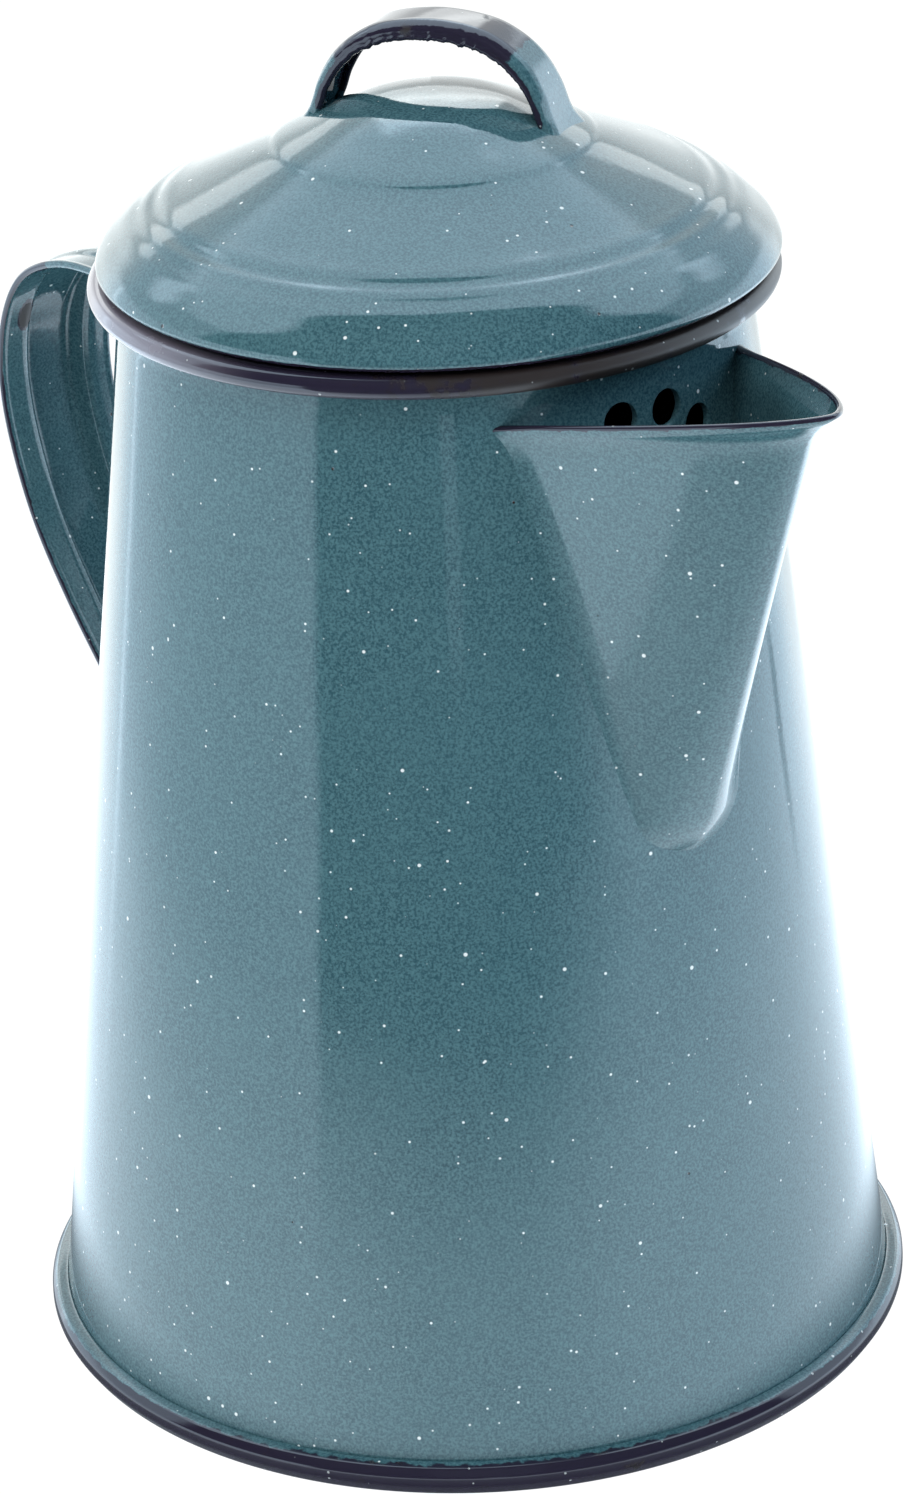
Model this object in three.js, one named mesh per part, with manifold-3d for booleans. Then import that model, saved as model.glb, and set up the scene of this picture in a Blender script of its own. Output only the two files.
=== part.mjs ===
// Camp coffee percolator in enamelled steel: a cone-shaped pot with a folded spout and a strap handle,
// a lift-off domed lid, and the loose percolator works that stand inside it.
// Millimetres, +Z up. The origin is on the pot's axis in the plane it stands on, and +X points to the spout.
import * as THREE from "three";
import { mergeVertices } from "three/addons/utils/BufferGeometryUtils.js";
import Module from "manifold-3d";

const wasm = await Module();
wasm.setup();

// ---------------------------------------------------------------- driving dimensions

const seamGap = 0.3;          // air between two pieces that are seamed, welded or staked together
const roundSides = 48;        // facets round the pot and the lid
const tubeSides = 20;         // facets round the stem and its sleeves
const basketSides = 36;       // facets round the basket and its cover

const wall = {
  thickness: 1.15,
  footRadius: 71.85,          // outside of the cone, just above the foot
  footHeight: 8,
  neckRadius: 51.84,          // outside of the cone, just below the rim
  neckHeight: 183.2,
  topHeight: 189,
};
const wallTaper = (wall.footRadius - wall.neckRadius) / (wall.neckHeight - wall.footHeight);
const base = { radius: 75, floor: 1.2 };
const rim = { radius: 56.5, top: 190.5, bottom: 186.3 };

const strainer = {
  holeRadius: 3,
  // place of each hole: across, up
  holes: [[-5.9, 177.8], [3.5, 177.6], [-12.6, 172.6], [10.3, 173.2], [-1.2, 169.2],
    [-8.2, 163.8], [5.8, 163.8], [-1.2, 157.5], [-1.2, 148]],
};

const spoutShape = {
  bottom: 104.6,              // lowest point, on the wall
  roundTo: 113,               // the rounded bottom runs into the straight sides here
  lipRoot: 180,               // height of the lip where it leaves the wall
  lipSlope: 0.168,            // rise of the lip towards the tip
  rootX: 46.6,                // where the lip leaves the wall
  ridgeX: 65.9,               // the front ridge passes through this point
  ridgeZ: 116.2,
  ridgeSlope: 0.333,          // how far the ridge leans out, per unit of height
  sideWidth: 11.9,            // half width on the wall at roundTo
  sideSlope: 0.178,
  fold: 1.61,                 // 2 would be a parabola, 1 a sharp fold
  flareStart: 174.5,
  noseFlare: 4.9,
  sideFlare: 1.3,
  thickness: 1.3,
};

const handle = {
  // middle of the strap in its own plane: distance from the axis, height
  path: [[50, 169.4], [66, 169.4], [81, 169.3], [94, 168.2], [104.5, 163.4], [110.7, 154.5], [113, 143.5],
    [111.4, 131.5], [105.9, 117.3], [97, 104.2], [86, 91.2], [74, 77], [60, 60.5]],
  topHalfWidth: 10.5,
  halfWidth: 12,
  channelHalf: 7.4,           // half width of the channel at its mouth
  crownHalf: 5.5,             // half width of the channel's outer face
  endDepth: 1,                // the channel is almost flat along the top and where the strap meets the wall
  gripDepth: 4.2,
  thickness: 1.2,
  steps: 32,
};

const lid = {
  thickness: 1.2,
  // outside of the dome, from the middle to the turned-in edge: distance from the axis, height
  outline: [[0, 219.4], [8, 218.3], [15, 215.9], [24.5, 211.9], [31, 208.2], [40.5, 204.3], [47.5, 200.8],
    [52, 197.4], [54.6, 195], [55.3, 193.5], [54.4, 192.1]],
};
const lidRing = { skirtRadius: 49.9, skirtBottom: 182.4, shoulderRadius: 52.9, top: 194.5, thickness: 1 };

const grip = {
  azimuth: 30,                // the lid's strap runs this way
  offset: 3.6,                // and is welded on a little to one side of the axis
  // outside of one half of the strap in its own plane, from the foot to the crown: distance, height
  path: [[23.8, 210], [22.4, 212.2], [20.7, 215.6], [19.3, 219.6], [16.8, 223.8], [13, 227.2], [8, 229.5], [0, 230.5]],
  crownHalf: 5.3,
  footHalf: 6.4,
  crownFlank: 2.5,
  footFlank: 1.7,
  thickness: 1.2,
  steps: 36,
};

const stem = { radius: 4.75, bore: 3.75, bottom: 12, top: 198 };
const foot = { radius: 30, bottom: 1.5, collarTop: 26, collarRadius: 6.1, thickness: 1, inlets: 4, inletRadius: 3.2 };
const stop = { radius: 7.2, bottom: 117.6, top: 120.6 };
const sleeve = { bore: 5.5, radius: 6.3, flange: 9, bottom: 120.9, top: 160 };
const basket = { floor: 122, thickness: 0.9, floorRadius: 36, wallRadius: 38, rimRadius: 39.6, top: 168.2 };
const cover = { plate: 163.9, thickness: 0.8, skirtRadius: 36.3, flangeRadius: 39.2, flangeBottom: 168.5 };
const perforation = { radius: 1.1, sides: 6 };

// ---------------------------------------------------------------- materials

const enamel = new THREE.MeshStandardMaterial({ color: 0x4f8490, roughness: 0.12, metalness: 0 });
const darkEnamel = new THREE.MeshStandardMaterial({ color: 0x2b2536, roughness: 0.2, metalness: 0 });
const aluminium = new THREE.MeshStandardMaterial({ color: 0xb9bbbd, roughness: 0.35, metalness: 1 });

// ---------------------------------------------------------------- helpers

const vector2 = ([x, y]) => new THREE.Vector2(x, y);

// A closed geometry as a solid that can be joined and cut.
function solidOf(geometry) {
  const bare = geometry.clone();
  bare.deleteAttribute("normal");
  bare.deleteAttribute("uv");
  const merged = mergeVertices(bare, 1e-4);
  const corners = merged.index.array;
  const triangles = [];
  for (let i = 0; i < corners.length; i += 3) {
    const [a, b, c] = corners.slice(i, i + 3);
    if (a !== b && b !== c && c !== a) triangles.push(a, b, c);
  }
  return new wasm.Manifold(new wasm.Mesh({
    numProp: 3,
    vertProperties: Float32Array.from(merged.attributes.position.array),
    triVerts: Uint32Array.from(triangles),
  }));
}

function geometryOf(solid) {
  const mesh = solid.getMesh();
  const geometry = new THREE.BufferGeometry();
  geometry.setAttribute("position", new THREE.BufferAttribute(mesh.vertProperties, 3));
  geometry.setIndex(new THREE.BufferAttribute(mesh.triVerts, 1));
  geometry.computeVertexNormals();
  return geometry;
}

function cutAll(geometry, tools) {
  const solids = tools.map(solidOf);
  return geometryOf(solidOf(geometry).subtract(wasm.Manifold.union(solids)));
}

// Turns an outline of (distance from the axis, height) round +Z. The outline runs anticlockwise.
function revolve(outline, sides) {
  const onAxis = outline[0].x === 0 && outline.at(-1).x === 0;
  const line = onAxis ? outline : [...outline, outline[0]];
  return new THREE.LatheGeometry(line, sides).rotateX(Math.PI / 2);
}

// The outline of a bent sheet: one face's line, and the same line moved to its left by the thickness.
function sheetOutline(line, thickness) {
  const normalAfter = (i) => {
    const step = line[i + 1].clone().sub(line[i]).normalize();
    return new THREE.Vector2(-step.y, step.x);
  };
  const otherFace = line.map((point, i) => {
    const before = normalAfter(Math.max(i - 1, 0));
    const after = normalAfter(Math.min(i, line.length - 2));
    const mitre = before.clone().add(after).normalize();
    return point.clone().addScaledVector(mitre, thickness / mitre.dot(before));
  });
  return [...line, ...otherFace.reverse()];
}

// Joins closed rings of points, all with the same count, into one solid with flat ends.
function loft(rings) {
  const count = rings[0].length;
  const first = rings[0];
  const across = first[1].clone().sub(first[0]).normalize();
  const normal = new THREE.Vector3();
  for (let i = 1; i < count - 1; i++) {
    normal.add(first[i].clone().sub(first[0]).cross(first[i + 1].clone().sub(first[0])));
  }
  const forwards = normal.dot(rings[1][0].clone().sub(first[0])) > 0;
  const upward = normal.clone().normalize().cross(across);
  const flat = first.map((point) => {
    const offset = point.clone().sub(first[0]);
    return new THREE.Vector2(offset.dot(across), offset.dot(upward));
  });
  const triangles = [];
  for (let ring = 0; ring < rings.length - 1; ring++) {
    for (let i = 0; i < count; i++) {
      const a = ring * count + i;
      const b = ring * count + ((i + 1) % count);
      triangles.push([a, b, b + count], [a, b + count, a + count]);
    }
  }
  const last = (rings.length - 1) * count;
  for (const [a, b, c] of THREE.ShapeUtils.triangulateShape(flat, [])) {
    triangles.push([a, c, b], [last + a, last + b, last + c]);
  }
  const geometry = new THREE.BufferGeometry();
  geometry.setAttribute("position", new THREE.Float32BufferAttribute(rings.flat().flatMap((p) => p.toArray()), 3));
  geometry.setIndex(triangles.flatMap(([a, b, c]) => (forwards ? [a, b, c] : [a, c, b])));
  return geometry;
}

// Sweeps a section along a line drawn in an upright plane. section(along) gives points (across, outward),
// and place(distance, across, height) puts them into the part's frame.
function sweepStrap(path, steps, section, place) {
  const curve = new THREE.SplineCurve(path.map(vector2));
  const rings = [];
  for (let i = 0; i <= steps; i++) {
    const along = i / steps;
    const point = curve.getPointAt(along);
    const tangent = curve.getTangentAt(along);
    const outward = new THREE.Vector2(-tangent.y, tangent.x);
    rings.push(section(along).map(([across, out]) => {
      const onFace = point.clone().addScaledVector(outward, out);
      return place(onFace.x, across, onFace.y);
    }));
  }
  return loft(rings);
}

const wallRadiusAt = (height) => wall.footRadius - wallTaper * (height - wall.footHeight);

// Everything inside the outer face of the wall, made larger by the seam's gap.
function insideOfWall() {
  const radius = (height) => wallRadiusAt(height) + seamGap;
  const outline = [[0, 20], [radius(20), 20], [radius(200), 200], [0, 200]];
  return revolve(outline.map(vector2), roundSides);
}

function drill(radius, length, sides) {
  return new THREE.CylinderGeometry(radius, radius, length, sides).rotateX(Math.PI / 2);
}

// Rings of small holes through a flat disc: each ring is [distance from the axis, number of holes].
function perforations(rings, height) {
  return rings.flatMap(([distance, number]) => Array.from({ length: number }, (_, i) => {
    const angle = (i / number) * 2 * Math.PI;
    const hole = drill(perforation.radius, 4, perforation.sides);
    return hole.translate(distance * Math.cos(angle), distance * Math.sin(angle), height);
  }));
}

// ---------------------------------------------------------------- the pot

// The cone, its neck and the small flange at its foot that the bottom pan is rolled over.
function bodyShell() {
  const line = [[73.6, 5.3], [72.9, 5.4], [72.35, 5.9], [72.1, 6.8], [71.95, 7.8], [wallRadiusAt(14), 14],
    [wall.neckRadius, wall.neckHeight], [51.75, wall.topHeight]];
  const shell = revolve(sheetOutline(line.map(vector2), wall.thickness), roundSides);
  const holes = strainer.holes.map(([across, height]) => {
    const azimuth = Math.asin(across / wallRadiusAt(height));
    const hole = drill(strainer.holeRadius, 20, 12).rotateY(Math.PI / 2);
    return hole.translate(wallRadiusAt(height), 0, height).rotateZ(azimuth);
  });
  return cutAll(shell, holes);
}

// The bottom disc. Its edge rises, turns out under the wall's flange and is rolled over the top of it.
function bottomPan() {
  const outline = [[0, 0], [68.5, 0], [71.2, 0.9], [73.6, 2.2], [base.radius, 4], [74.95, 5.5], [74.2, 6.7],
    [73.2, 7.1], [72.5, 6.9], [72.6, 6.2], [73.4, 5.8], [74, 5.7], [74, 3.85], [70.6, 3.85], [68.9, base.floor],
    [0, base.floor]];
  return revolve(outline.map(vector2), roundSides);
}

// The rolled rim, hooked over the top edge of the neck.
function rimRing() {
  const outline = [[52.15, rim.bottom], [53.9, rim.bottom], [55.6, 186.9], [rim.radius, 188.4], [56.1, 189.8],
    [54.8, rim.top], [51.6, rim.top], [50.9, 190], [50.9, 189.35], [52.15, 189.35]];
  return revolve(outline.map(vector2), roundSides);
}

// One level of the spout's plan: two sides that bend round to meet in the front ridge. Inset moves every
// face inwards, and level is the height of the plan where it meets the wall.
function spoutRing(level, inset) {
  const shape = spoutShape;
  const tilt = shape.lipSlope * THREE.MathUtils.smoothstep(level, shape.bottom, shape.lipRoot);
  const roundness = Math.max(0, (shape.roundTo - level) / (shape.roundTo - shape.bottom));
  const flare = Math.max(0, (level - shape.flareStart) / (shape.lipRoot - shape.flareStart)) ** 2;
  const straightNose = (shape.ridgeX + shape.ridgeSlope * (level - shape.ridgeZ - tilt * shape.rootX))
    / (1 - shape.ridgeSlope * tilt);
  const nose = straightNose - 1.6 * roundness ** 2 + shape.noseFlare * flare - 1.2 * inset;
  const straightSide = shape.sideWidth + shape.sideSlope * Math.max(0, level - shape.roundTo);
  const side = Math.max(0.4, (straightSide + shape.sideFlare * flare)
    * Math.sqrt(1 - Math.min(roundness, 0.999) ** 2) - 1.05 * inset);
  const root = Math.sqrt(wallRadiusAt(level) ** 2 - side ** 2) - 1;
  const raise = (x) => level + tilt * (x - shape.rootX);
  const points = [new THREE.Vector3(root - 9, side, raise(root - 9))];
  points.push(new THREE.Vector3(root - 9, -side, raise(root - 9)));
  const halfSteps = 9;
  for (let i = -halfSteps; i <= halfSteps; i++) {
    const across = i / halfSteps;
    const x = nose - (nose - root) * Math.abs(across) ** shape.fold;
    points.push(new THREE.Vector3(x, side * across, raise(x)));
  }
  return points;
}

function spout() {
  const shape = spoutShape;
  const levels = [104.8, 105.8, 107.6, 110, 113, 120, 140, 160, 174.5, 177.5, shape.lipRoot];
  const outside = loft(levels.map((level) => spoutRing(level, 0)));
  const insideLevels = [...levels.map((level) => level + 1.6 * (shape.lipRoot - level) / 75), shape.lipRoot + 4];
  const inside = loft(insideLevels.map((level) => spoutRing(level, shape.thickness)));
  return cutAll(outside, [inside, insideOfWall()]);
}

// The pressed strap: a channel open towards the pot, with a flange each side.
function sideHandle() {
  const section = (along) => {
    const swell = THREE.MathUtils.smoothstep(along, 0.28, 0.42) * (1 - THREE.MathUtils.smoothstep(along, 0.75, 0.92));
    const depth = handle.endDepth + (handle.gripDepth - handle.endDepth) * swell;
    const widening = THREE.MathUtils.smoothstep(along, 0.15, 0.35);
    const halfWidth = handle.topHalfWidth + (handle.halfWidth - handle.topHalfWidth) * widening;
    const { channelHalf, crownHalf, thickness } = handle;
    const over = [[halfWidth, thickness], [channelHalf + 0.9, thickness], [crownHalf + 0.9, depth + 0.3],
      [crownHalf, depth + thickness]];
    const under = [[crownHalf - 0.6, depth], [crownHalf, depth - 0.6], [channelHalf, 0], [halfWidth, 0]];
    const mirrored = (points) => points.map(([across, out]) => [-across, out]).reverse();
    return [...over, ...mirrored(over), ...mirrored(under), ...under];
  };
  const place = (distance, across, height) => new THREE.Vector3(-distance, across, height);
  return cutAll(sweepStrap(handle.path, handle.steps, section, place), [insideOfWall()]);
}

// ---------------------------------------------------------------- the lid

function lidOutline() {
  const edgeTurn = lid.outline.map(vector2).reverse();
  return sheetOutline(edgeTurn, lid.thickness);
}

function lidShell() {
  return revolve(lidOutline(), roundSides);
}

// The ring whose shoulder rests on the rim and whose skirt keeps the lid in the mouth.
function lidLocatingRing() {
  const { skirtRadius, skirtBottom, shoulderRadius, top, thickness } = lidRing;
  const shoulder = rim.top + seamGap;
  const line = [[skirtRadius, skirtBottom], [skirtRadius, shoulder - 0.6], [skirtRadius + 0.6, shoulder],
    [shoulderRadius - 0.8, shoulder], [shoulderRadius, shoulder + 0.8], [shoulderRadius, top]];
  return revolve(sheetOutline(line.map(vector2), thickness), roundSides);
}

// The strap grip: a ribbon with turned-down flanks that stands on the dome on two feet.
function lidHandle() {
  const section = (along) => {
    const crown = Math.sin(along * Math.PI) ** 1.5;
    const half = grip.footHalf + (grip.crownHalf - grip.footHalf) * crown;
    const flank = grip.footFlank + (grip.crownFlank - grip.footFlank) * crown;
    const right = [[half - 1.1, -grip.thickness], [half - 1.1, -flank], [half, -flank], [half, -0.7], [half - 0.7, 0]];
    return [...right, ...right.map(([across, out]) => [-across, out]).reverse()];
  };
  const place = (distance, across, height) => new THREE.Vector3(distance, grip.offset - across, height);
  const otherHalf = grip.path.slice(0, -1).map(([distance, height]) => [-distance, height]);
  const strap = sweepStrap([...otherHalf, ...grip.path.toReversed()], grip.steps, section, place);
  const dome = lid.outline.slice(0, -2).map(([distance, height]) => new THREE.Vector2(distance, height + seamGap));
  const block = revolve([new THREE.Vector2(0, 195), new THREE.Vector2(dome.at(-1).x, 195), ...dome.reverse()], roundSides);
  return cutAll(strap, [block]).rotateZ(THREE.MathUtils.degToRad(grip.azimuth));
}

// ---------------------------------------------------------------- the percolator works

function pumpTube() {
  const outline = [[stem.bore, stem.bottom], [stem.radius, stem.bottom], [stem.radius, stem.top], [stem.bore, stem.top]];
  return revolve(outline.map(vector2), tubeSides);
}

// The bell that stands on the bottom and holds the stem, with arched inlets round its edge.
function pumpFoot() {
  const line = [[foot.radius, foot.bottom], [29.4, 4.5], [26, 8], [19, 11.6], [11, 15.2], [7.4, 18],
    [foot.collarRadius, 21], [foot.collarRadius, foot.collarTop]];
  const bell = revolve(sheetOutline(line.map(vector2), foot.thickness), basketSides);
  const inlets = Array.from({ length: foot.inlets }, (_, i) => {
    const arch = drill(foot.inletRadius, 16, 12).rotateY(Math.PI / 2).translate(foot.radius, 0, foot.bottom);
    return arch.rotateZ(((i + 0.5) / foot.inlets) * 2 * Math.PI);
  });
  return cutAll(bell, inlets);
}

function basketStop() {
  const bore = stem.radius + seamGap;
  const outline = [[bore, stop.bottom], [stop.radius - 0.8, stop.bottom], [stop.radius, stop.bottom + 1.2],
    [stop.radius, stop.top], [bore, stop.top]];
  return revolve(outline.map(vector2), tubeSides);
}

function basketCup() {
  const { floor, thickness, floorRadius, wallRadius, rimRadius, top } = basket;
  const outline = [[sleeve.radius + 0.4, floor], [floorRadius, floor], [floorRadius + 1, floor + 1],
    [wallRadius, top - 2], [rimRadius - 0.5, top - 2], [rimRadius, top - 1], [rimRadius - 0.5, top],
    [wallRadius - thickness, top], [floorRadius + 0.1, floor + 1.3], [floorRadius - 0.3, floor + thickness],
    [sleeve.radius + 0.4, floor + thickness]];
  const cup = revolve(outline.map(vector2), basketSides);
  return cutAll(cup, perforations([[13, 6], [20, 12], [27, 18]], floor));
}

// The sleeve staked into the basket's floor, with a flange below and above it.
function basketSleeve() {
  const { bore, radius, flange, bottom, top } = sleeve;
  const above = basket.floor + basket.thickness + seamGap;
  const outline = [[bore, bottom], [flange, bottom], [flange, bottom + 0.8], [radius, bottom + 0.8], [radius, above],
    [flange - 0.6, above], [flange - 0.6, above + 0.8], [radius, above + 0.8], [radius, top], [bore, top]];
  return revolve(outline.map(vector2), tubeSides);
}

function basketCover() {
  const { plate, thickness, skirtRadius, flangeRadius, flangeBottom } = cover;
  const bore = stem.radius + 0.95;
  const outline = [[bore, plate], [skirtRadius, plate], [skirtRadius, flangeBottom], [flangeRadius, flangeBottom],
    [flangeRadius, flangeBottom + thickness], [skirtRadius - thickness, flangeBottom + thickness],
    [skirtRadius - thickness, plate + thickness], [bore + thickness, plate + thickness],
    [bore + thickness, plate + 6], [bore, plate + 6]];
  const disc = revolve(outline.map(vector2), basketSides);
  return cutAll(disc, perforations([[12, 6], [20, 12], [28, 18]], plate));
}

// ---------------------------------------------------------------- the assembly

const percolator = new THREE.Group();

function add(name, geometry, material) {
  const mesh = new THREE.Mesh(geometry, material);
  mesh.name = name;
  percolator.add(mesh);
}

add("body_shell", bodyShell(), enamel);
add("bottom_pan", bottomPan(), darkEnamel);
add("rim_ring", rimRing(), darkEnamel);
add("spout", spout(), enamel);
add("side_handle", sideHandle(), enamel);
add("lid_shell", lidShell(), enamel);
add("lid_locating_ring", lidLocatingRing(), darkEnamel);
add("lid_handle", lidHandle(), enamel);
add("pump_tube", pumpTube(), aluminium);
add("pump_foot", pumpFoot(), aluminium);
add("basket_stop", basketStop(), aluminium);
add("basket_cup", basketCup(), aluminium);
add("basket_sleeve", basketSleeve(), aluminium);
add("basket_cover", basketCover(), aluminium);

export default percolator;
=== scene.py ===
import functools
import math

import bmesh
import bpy
import numpy as np
from mathutils import Matrix, Vector, noise


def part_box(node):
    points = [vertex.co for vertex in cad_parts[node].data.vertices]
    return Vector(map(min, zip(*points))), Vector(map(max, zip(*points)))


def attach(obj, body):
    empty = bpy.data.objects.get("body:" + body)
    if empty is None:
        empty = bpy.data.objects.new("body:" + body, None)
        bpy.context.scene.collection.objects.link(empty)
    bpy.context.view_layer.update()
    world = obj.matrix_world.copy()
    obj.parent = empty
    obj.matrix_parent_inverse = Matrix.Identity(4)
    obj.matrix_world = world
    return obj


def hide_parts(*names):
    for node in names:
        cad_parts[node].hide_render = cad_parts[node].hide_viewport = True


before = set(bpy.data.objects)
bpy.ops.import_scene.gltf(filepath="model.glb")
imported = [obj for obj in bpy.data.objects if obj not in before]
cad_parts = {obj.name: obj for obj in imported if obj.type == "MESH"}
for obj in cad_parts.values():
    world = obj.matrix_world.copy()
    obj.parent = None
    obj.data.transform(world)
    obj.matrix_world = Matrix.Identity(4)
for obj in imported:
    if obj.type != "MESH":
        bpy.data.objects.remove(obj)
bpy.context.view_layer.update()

# The pieces below are drawn in millimetres, in the CAD's frame: +Z up, +X towards the spout.
MM = 0.001
ROUND = 256                     # facets round the pot and the lid
BASKET_ROUND = 192              # facets round the basket and its cover
BELL_ROUND = 144                # facets round the pump's bell
SMALL_ROUND = 72                # facets round the stem and its sleeves


def top_of(node):
    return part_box(node)[1].z / MM


def bottom_of(node):
    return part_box(node)[0].z / MM


def reach_of(node):
    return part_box(node)[1].x / MM


BASE_RADIUS = reach_of("bottom_pan")
RIM_TOP = top_of("rim_ring")
RIM_RADIUS = reach_of("rim_ring")
LID_TOP = top_of("lid_shell")
WALL = {"foot_radius": 71.85, "foot_height": 8, "neck_radius": 51.84, "neck_height": 183.2,
        "thickness": 1.15}
WALL_TAPER = (WALL["foot_radius"] - WALL["neck_radius"]) / (WALL["neck_height"] - WALL["foot_height"])
HOLE_RADIUS = 3
STRAINER_HOLES = [(-5.9, 177.8), (3.5, 177.6), (-12.6, 172.6), (10.3, 173.2), (-1.2, 169.2),
                  (-8.2, 163.8), (5.8, 163.8), (-1.2, 157.5), (-1.2, 148)]       # across, up


# ---------------------------------------------------------------- lines and sections

def smoothstep(x, low, high):
    t = np.clip((np.asarray(x, float) - low) / (high - low), 0, 1)
    return t * t * (3 - 2 * t)


def wall_radius(height):
    return WALL["foot_radius"] - WALL_TAPER * (height - WALL["foot_height"])


def filleted(corners, steps=5):
    """A line of (x, y, corner radius) points with every inner corner rounded to its radius."""
    line = []
    for i, (x, y, radius) in enumerate(corners):
        here = Vector((x, y))
        if radius == 0 or i in (0, len(corners) - 1):
            line.append(here)
            continue
        before = Vector(corners[i - 1][:2]) - here
        after = Vector(corners[i + 1][:2]) - here
        longest = 0.49 * min(before.length, after.length)
        cut = min(radius / math.tan(before.angle(after) / 2), longest)
        start = here + before.normalized() * cut
        end = here + after.normalized() * cut
        for step in range(steps + 1):
            t = step / steps
            line.append(start * (1 - t) ** 2 + here * 2 * t * (1 - t) + end * t ** 2)
    return np.array(line)


def spline(points, count):
    """A Catmull-Rom line through the points, as evenly spaced points."""
    points = np.array(points, float)
    ends = np.vstack([2 * points[0] - points[1], points, 2 * points[-1] - points[-2]])
    fine = []
    for p0, p1, p2, p3 in zip(ends, ends[1:], ends[2:], ends[3:]):
        for t in np.linspace(0, 1, 24, endpoint=False):
            slope_in = (p2 - p0) / 2
            slope_out = (p3 - p1) / 2
            cubic = 2 * p1 - 2 * p2 + slope_in + slope_out
            square = -3 * p1 + 3 * p2 - 2 * slope_in - slope_out
            fine.append(cubic * t ** 3 + square * t ** 2 + slope_in * t + p1)
    fine.append(points[-1])
    return evenly(np.array(fine), count)


def evenly(line, count):
    """The same line as count evenly spaced points."""
    along = np.concatenate([[0], np.cumsum(np.linalg.norm(np.diff(line, axis=0), axis=1))])
    places = np.linspace(0, along[-1], count)
    return np.stack([np.interp(places, along, line[:, k]) for k in range(line.shape[1])], axis=1)


def subdivided(line, spacing):
    """The line with extra points, so that no step is longer than the spacing."""
    out = [line[0]]
    for start, end in zip(line, line[1:]):
        parts = max(1, math.ceil(np.linalg.norm(end - start) / spacing))
        out += [start + (end - start) * k / parts for k in range(1, parts + 1)]
    return np.array(out)


def left_normals(line):
    slope = np.gradient(line, axis=0)
    slope /= np.linalg.norm(slope, axis=1)[:, None] + 1e-9
    return np.stack([-slope[:, 1], slope[:, 0]], axis=1)


def rounded_end(first, last, steps=4):
    """Half a circle from first to last, without the two points themselves."""
    middle = (first + last) / 2
    arm = first - middle
    angles = np.linspace(0, math.pi, steps + 2)[1:-1]
    turned = np.array([-arm[1], arm[0]])
    return [middle + arm * math.cos(a) + turned * math.sin(a) for a in angles]


def sheet(line, thickness):
    """The closed outline of a bent sheet: the line, the same line to its left, and rounded edges."""
    other = line + left_normals(line) * thickness
    far_edge = rounded_end(line[-1], other[-1])
    near_edge = rounded_end(other[0], line[0])
    return np.array([*line, *far_edge, *other[::-1], *near_edge])


# ---------------------------------------------------------------- making pieces

def new_mesh(name, points, faces, dark):
    """A mesh from millimetre points. dark says, point by point, where the enamel is the dark colour."""
    mesh = bpy.data.meshes.new(name)
    mesh.from_pydata([tuple(p) for p in np.asarray(points) * MM], [], faces)
    values = mesh.attributes.new("dark", "FLOAT", "POINT")
    values.data.foreach_set("value", np.asarray(dark, np.float32))
    edit = bmesh.new()
    edit.from_mesh(mesh)
    bmesh.ops.remove_doubles(edit, verts=edit.verts, dist=2e-6)
    bmesh.ops.recalc_face_normals(edit, faces=edit.faces)
    edit.to_mesh(mesh)
    edit.free()
    return mesh


def new_object(name, data):
    """A new object, linked to the scene."""
    item = bpy.data.objects.new(name, data)
    bpy.context.scene.collection.objects.link(item)
    return item


def new_piece(name, mesh, material, body, node):
    """One piece that rides on its body and stands for its CAD node."""
    mesh.materials.append(material)
    mesh.shade_smooth()
    piece = new_object(name, mesh)
    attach(piece, body)
    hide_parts(node)
    return piece


def grid_faces(rows, columns, closed_rows, closed_columns):
    faces = []
    for i in range(rows if closed_rows else rows - 1):
        for j in range(columns if closed_columns else columns - 1):
            k = (i + 1) % rows
            m = (j + 1) % columns
            faces.append((i * columns + j, i * columns + m, k * columns + m, k * columns + j))
    return faces


def lathe(name, outline, sides=ROUND, dark=lambda radius, height, turn: 0, centre=(0, 0)):
    """Turns an outline of (radius, height) round +Z. It is closed, or starts and ends on the axis."""
    turns = np.linspace(0, 2 * math.pi, sides, endpoint=False)
    on_axis = abs(outline[0][0]) < 1e-6 and abs(outline[-1][0]) < 1e-6
    points = [(centre[0] + r * math.cos(a), centre[1] + r * math.sin(a), z)
              for r, z in outline for a in turns]
    values = [dark(r, z, a) for r, z in outline for a in turns]
    return new_mesh(name, points, grid_faces(len(outline), sides, not on_axis, True), values)


def cut_by(mesh, cutter):
    """The mesh with the cutter's solid taken away."""
    target = new_object("cut_target", mesh)
    tool = new_object("cut_tool", cutter)
    cut = target.modifiers.new("cut", "BOOLEAN")
    cut.operation = "DIFFERENCE"
    cut.solver = "EXACT"
    cut.object = tool
    graph = bpy.context.evaluated_depsgraph_get()
    result = bpy.data.meshes.new_from_object(target.evaluated_get(graph))
    result.name = mesh.name
    for item in (target, tool):
        bpy.data.objects.remove(item)
    return result


def cutter_mesh(profile, places, sides):
    """Copies of a lathe-turned cutter, one for each matrix in places. profile is (radius, height)."""
    turns = np.linspace(0, 2 * math.pi, sides, endpoint=False)
    ring = [Vector((r * math.cos(a), r * math.sin(a), z)) for r, z in profile for a in turns]
    points = []
    faces = []
    for place in places:
        start = len(points)
        points += [place @ p for p in ring]
        faces += [tuple(start + k for k in face) for face in grid_faces(len(profile), sides, False, True)]
        faces.append(tuple(start + k for k in range(sides)))
        faces.append(tuple(start + (len(profile) - 1) * sides + k for k in range(sides)))
    return new_mesh("cutter", [tuple(p) for p in points], faces, [0] * len(points))


# ---------------------------------------------------------------- materials

SPECK_EDGE = 4                  # how sharp a speck's edge is


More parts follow.
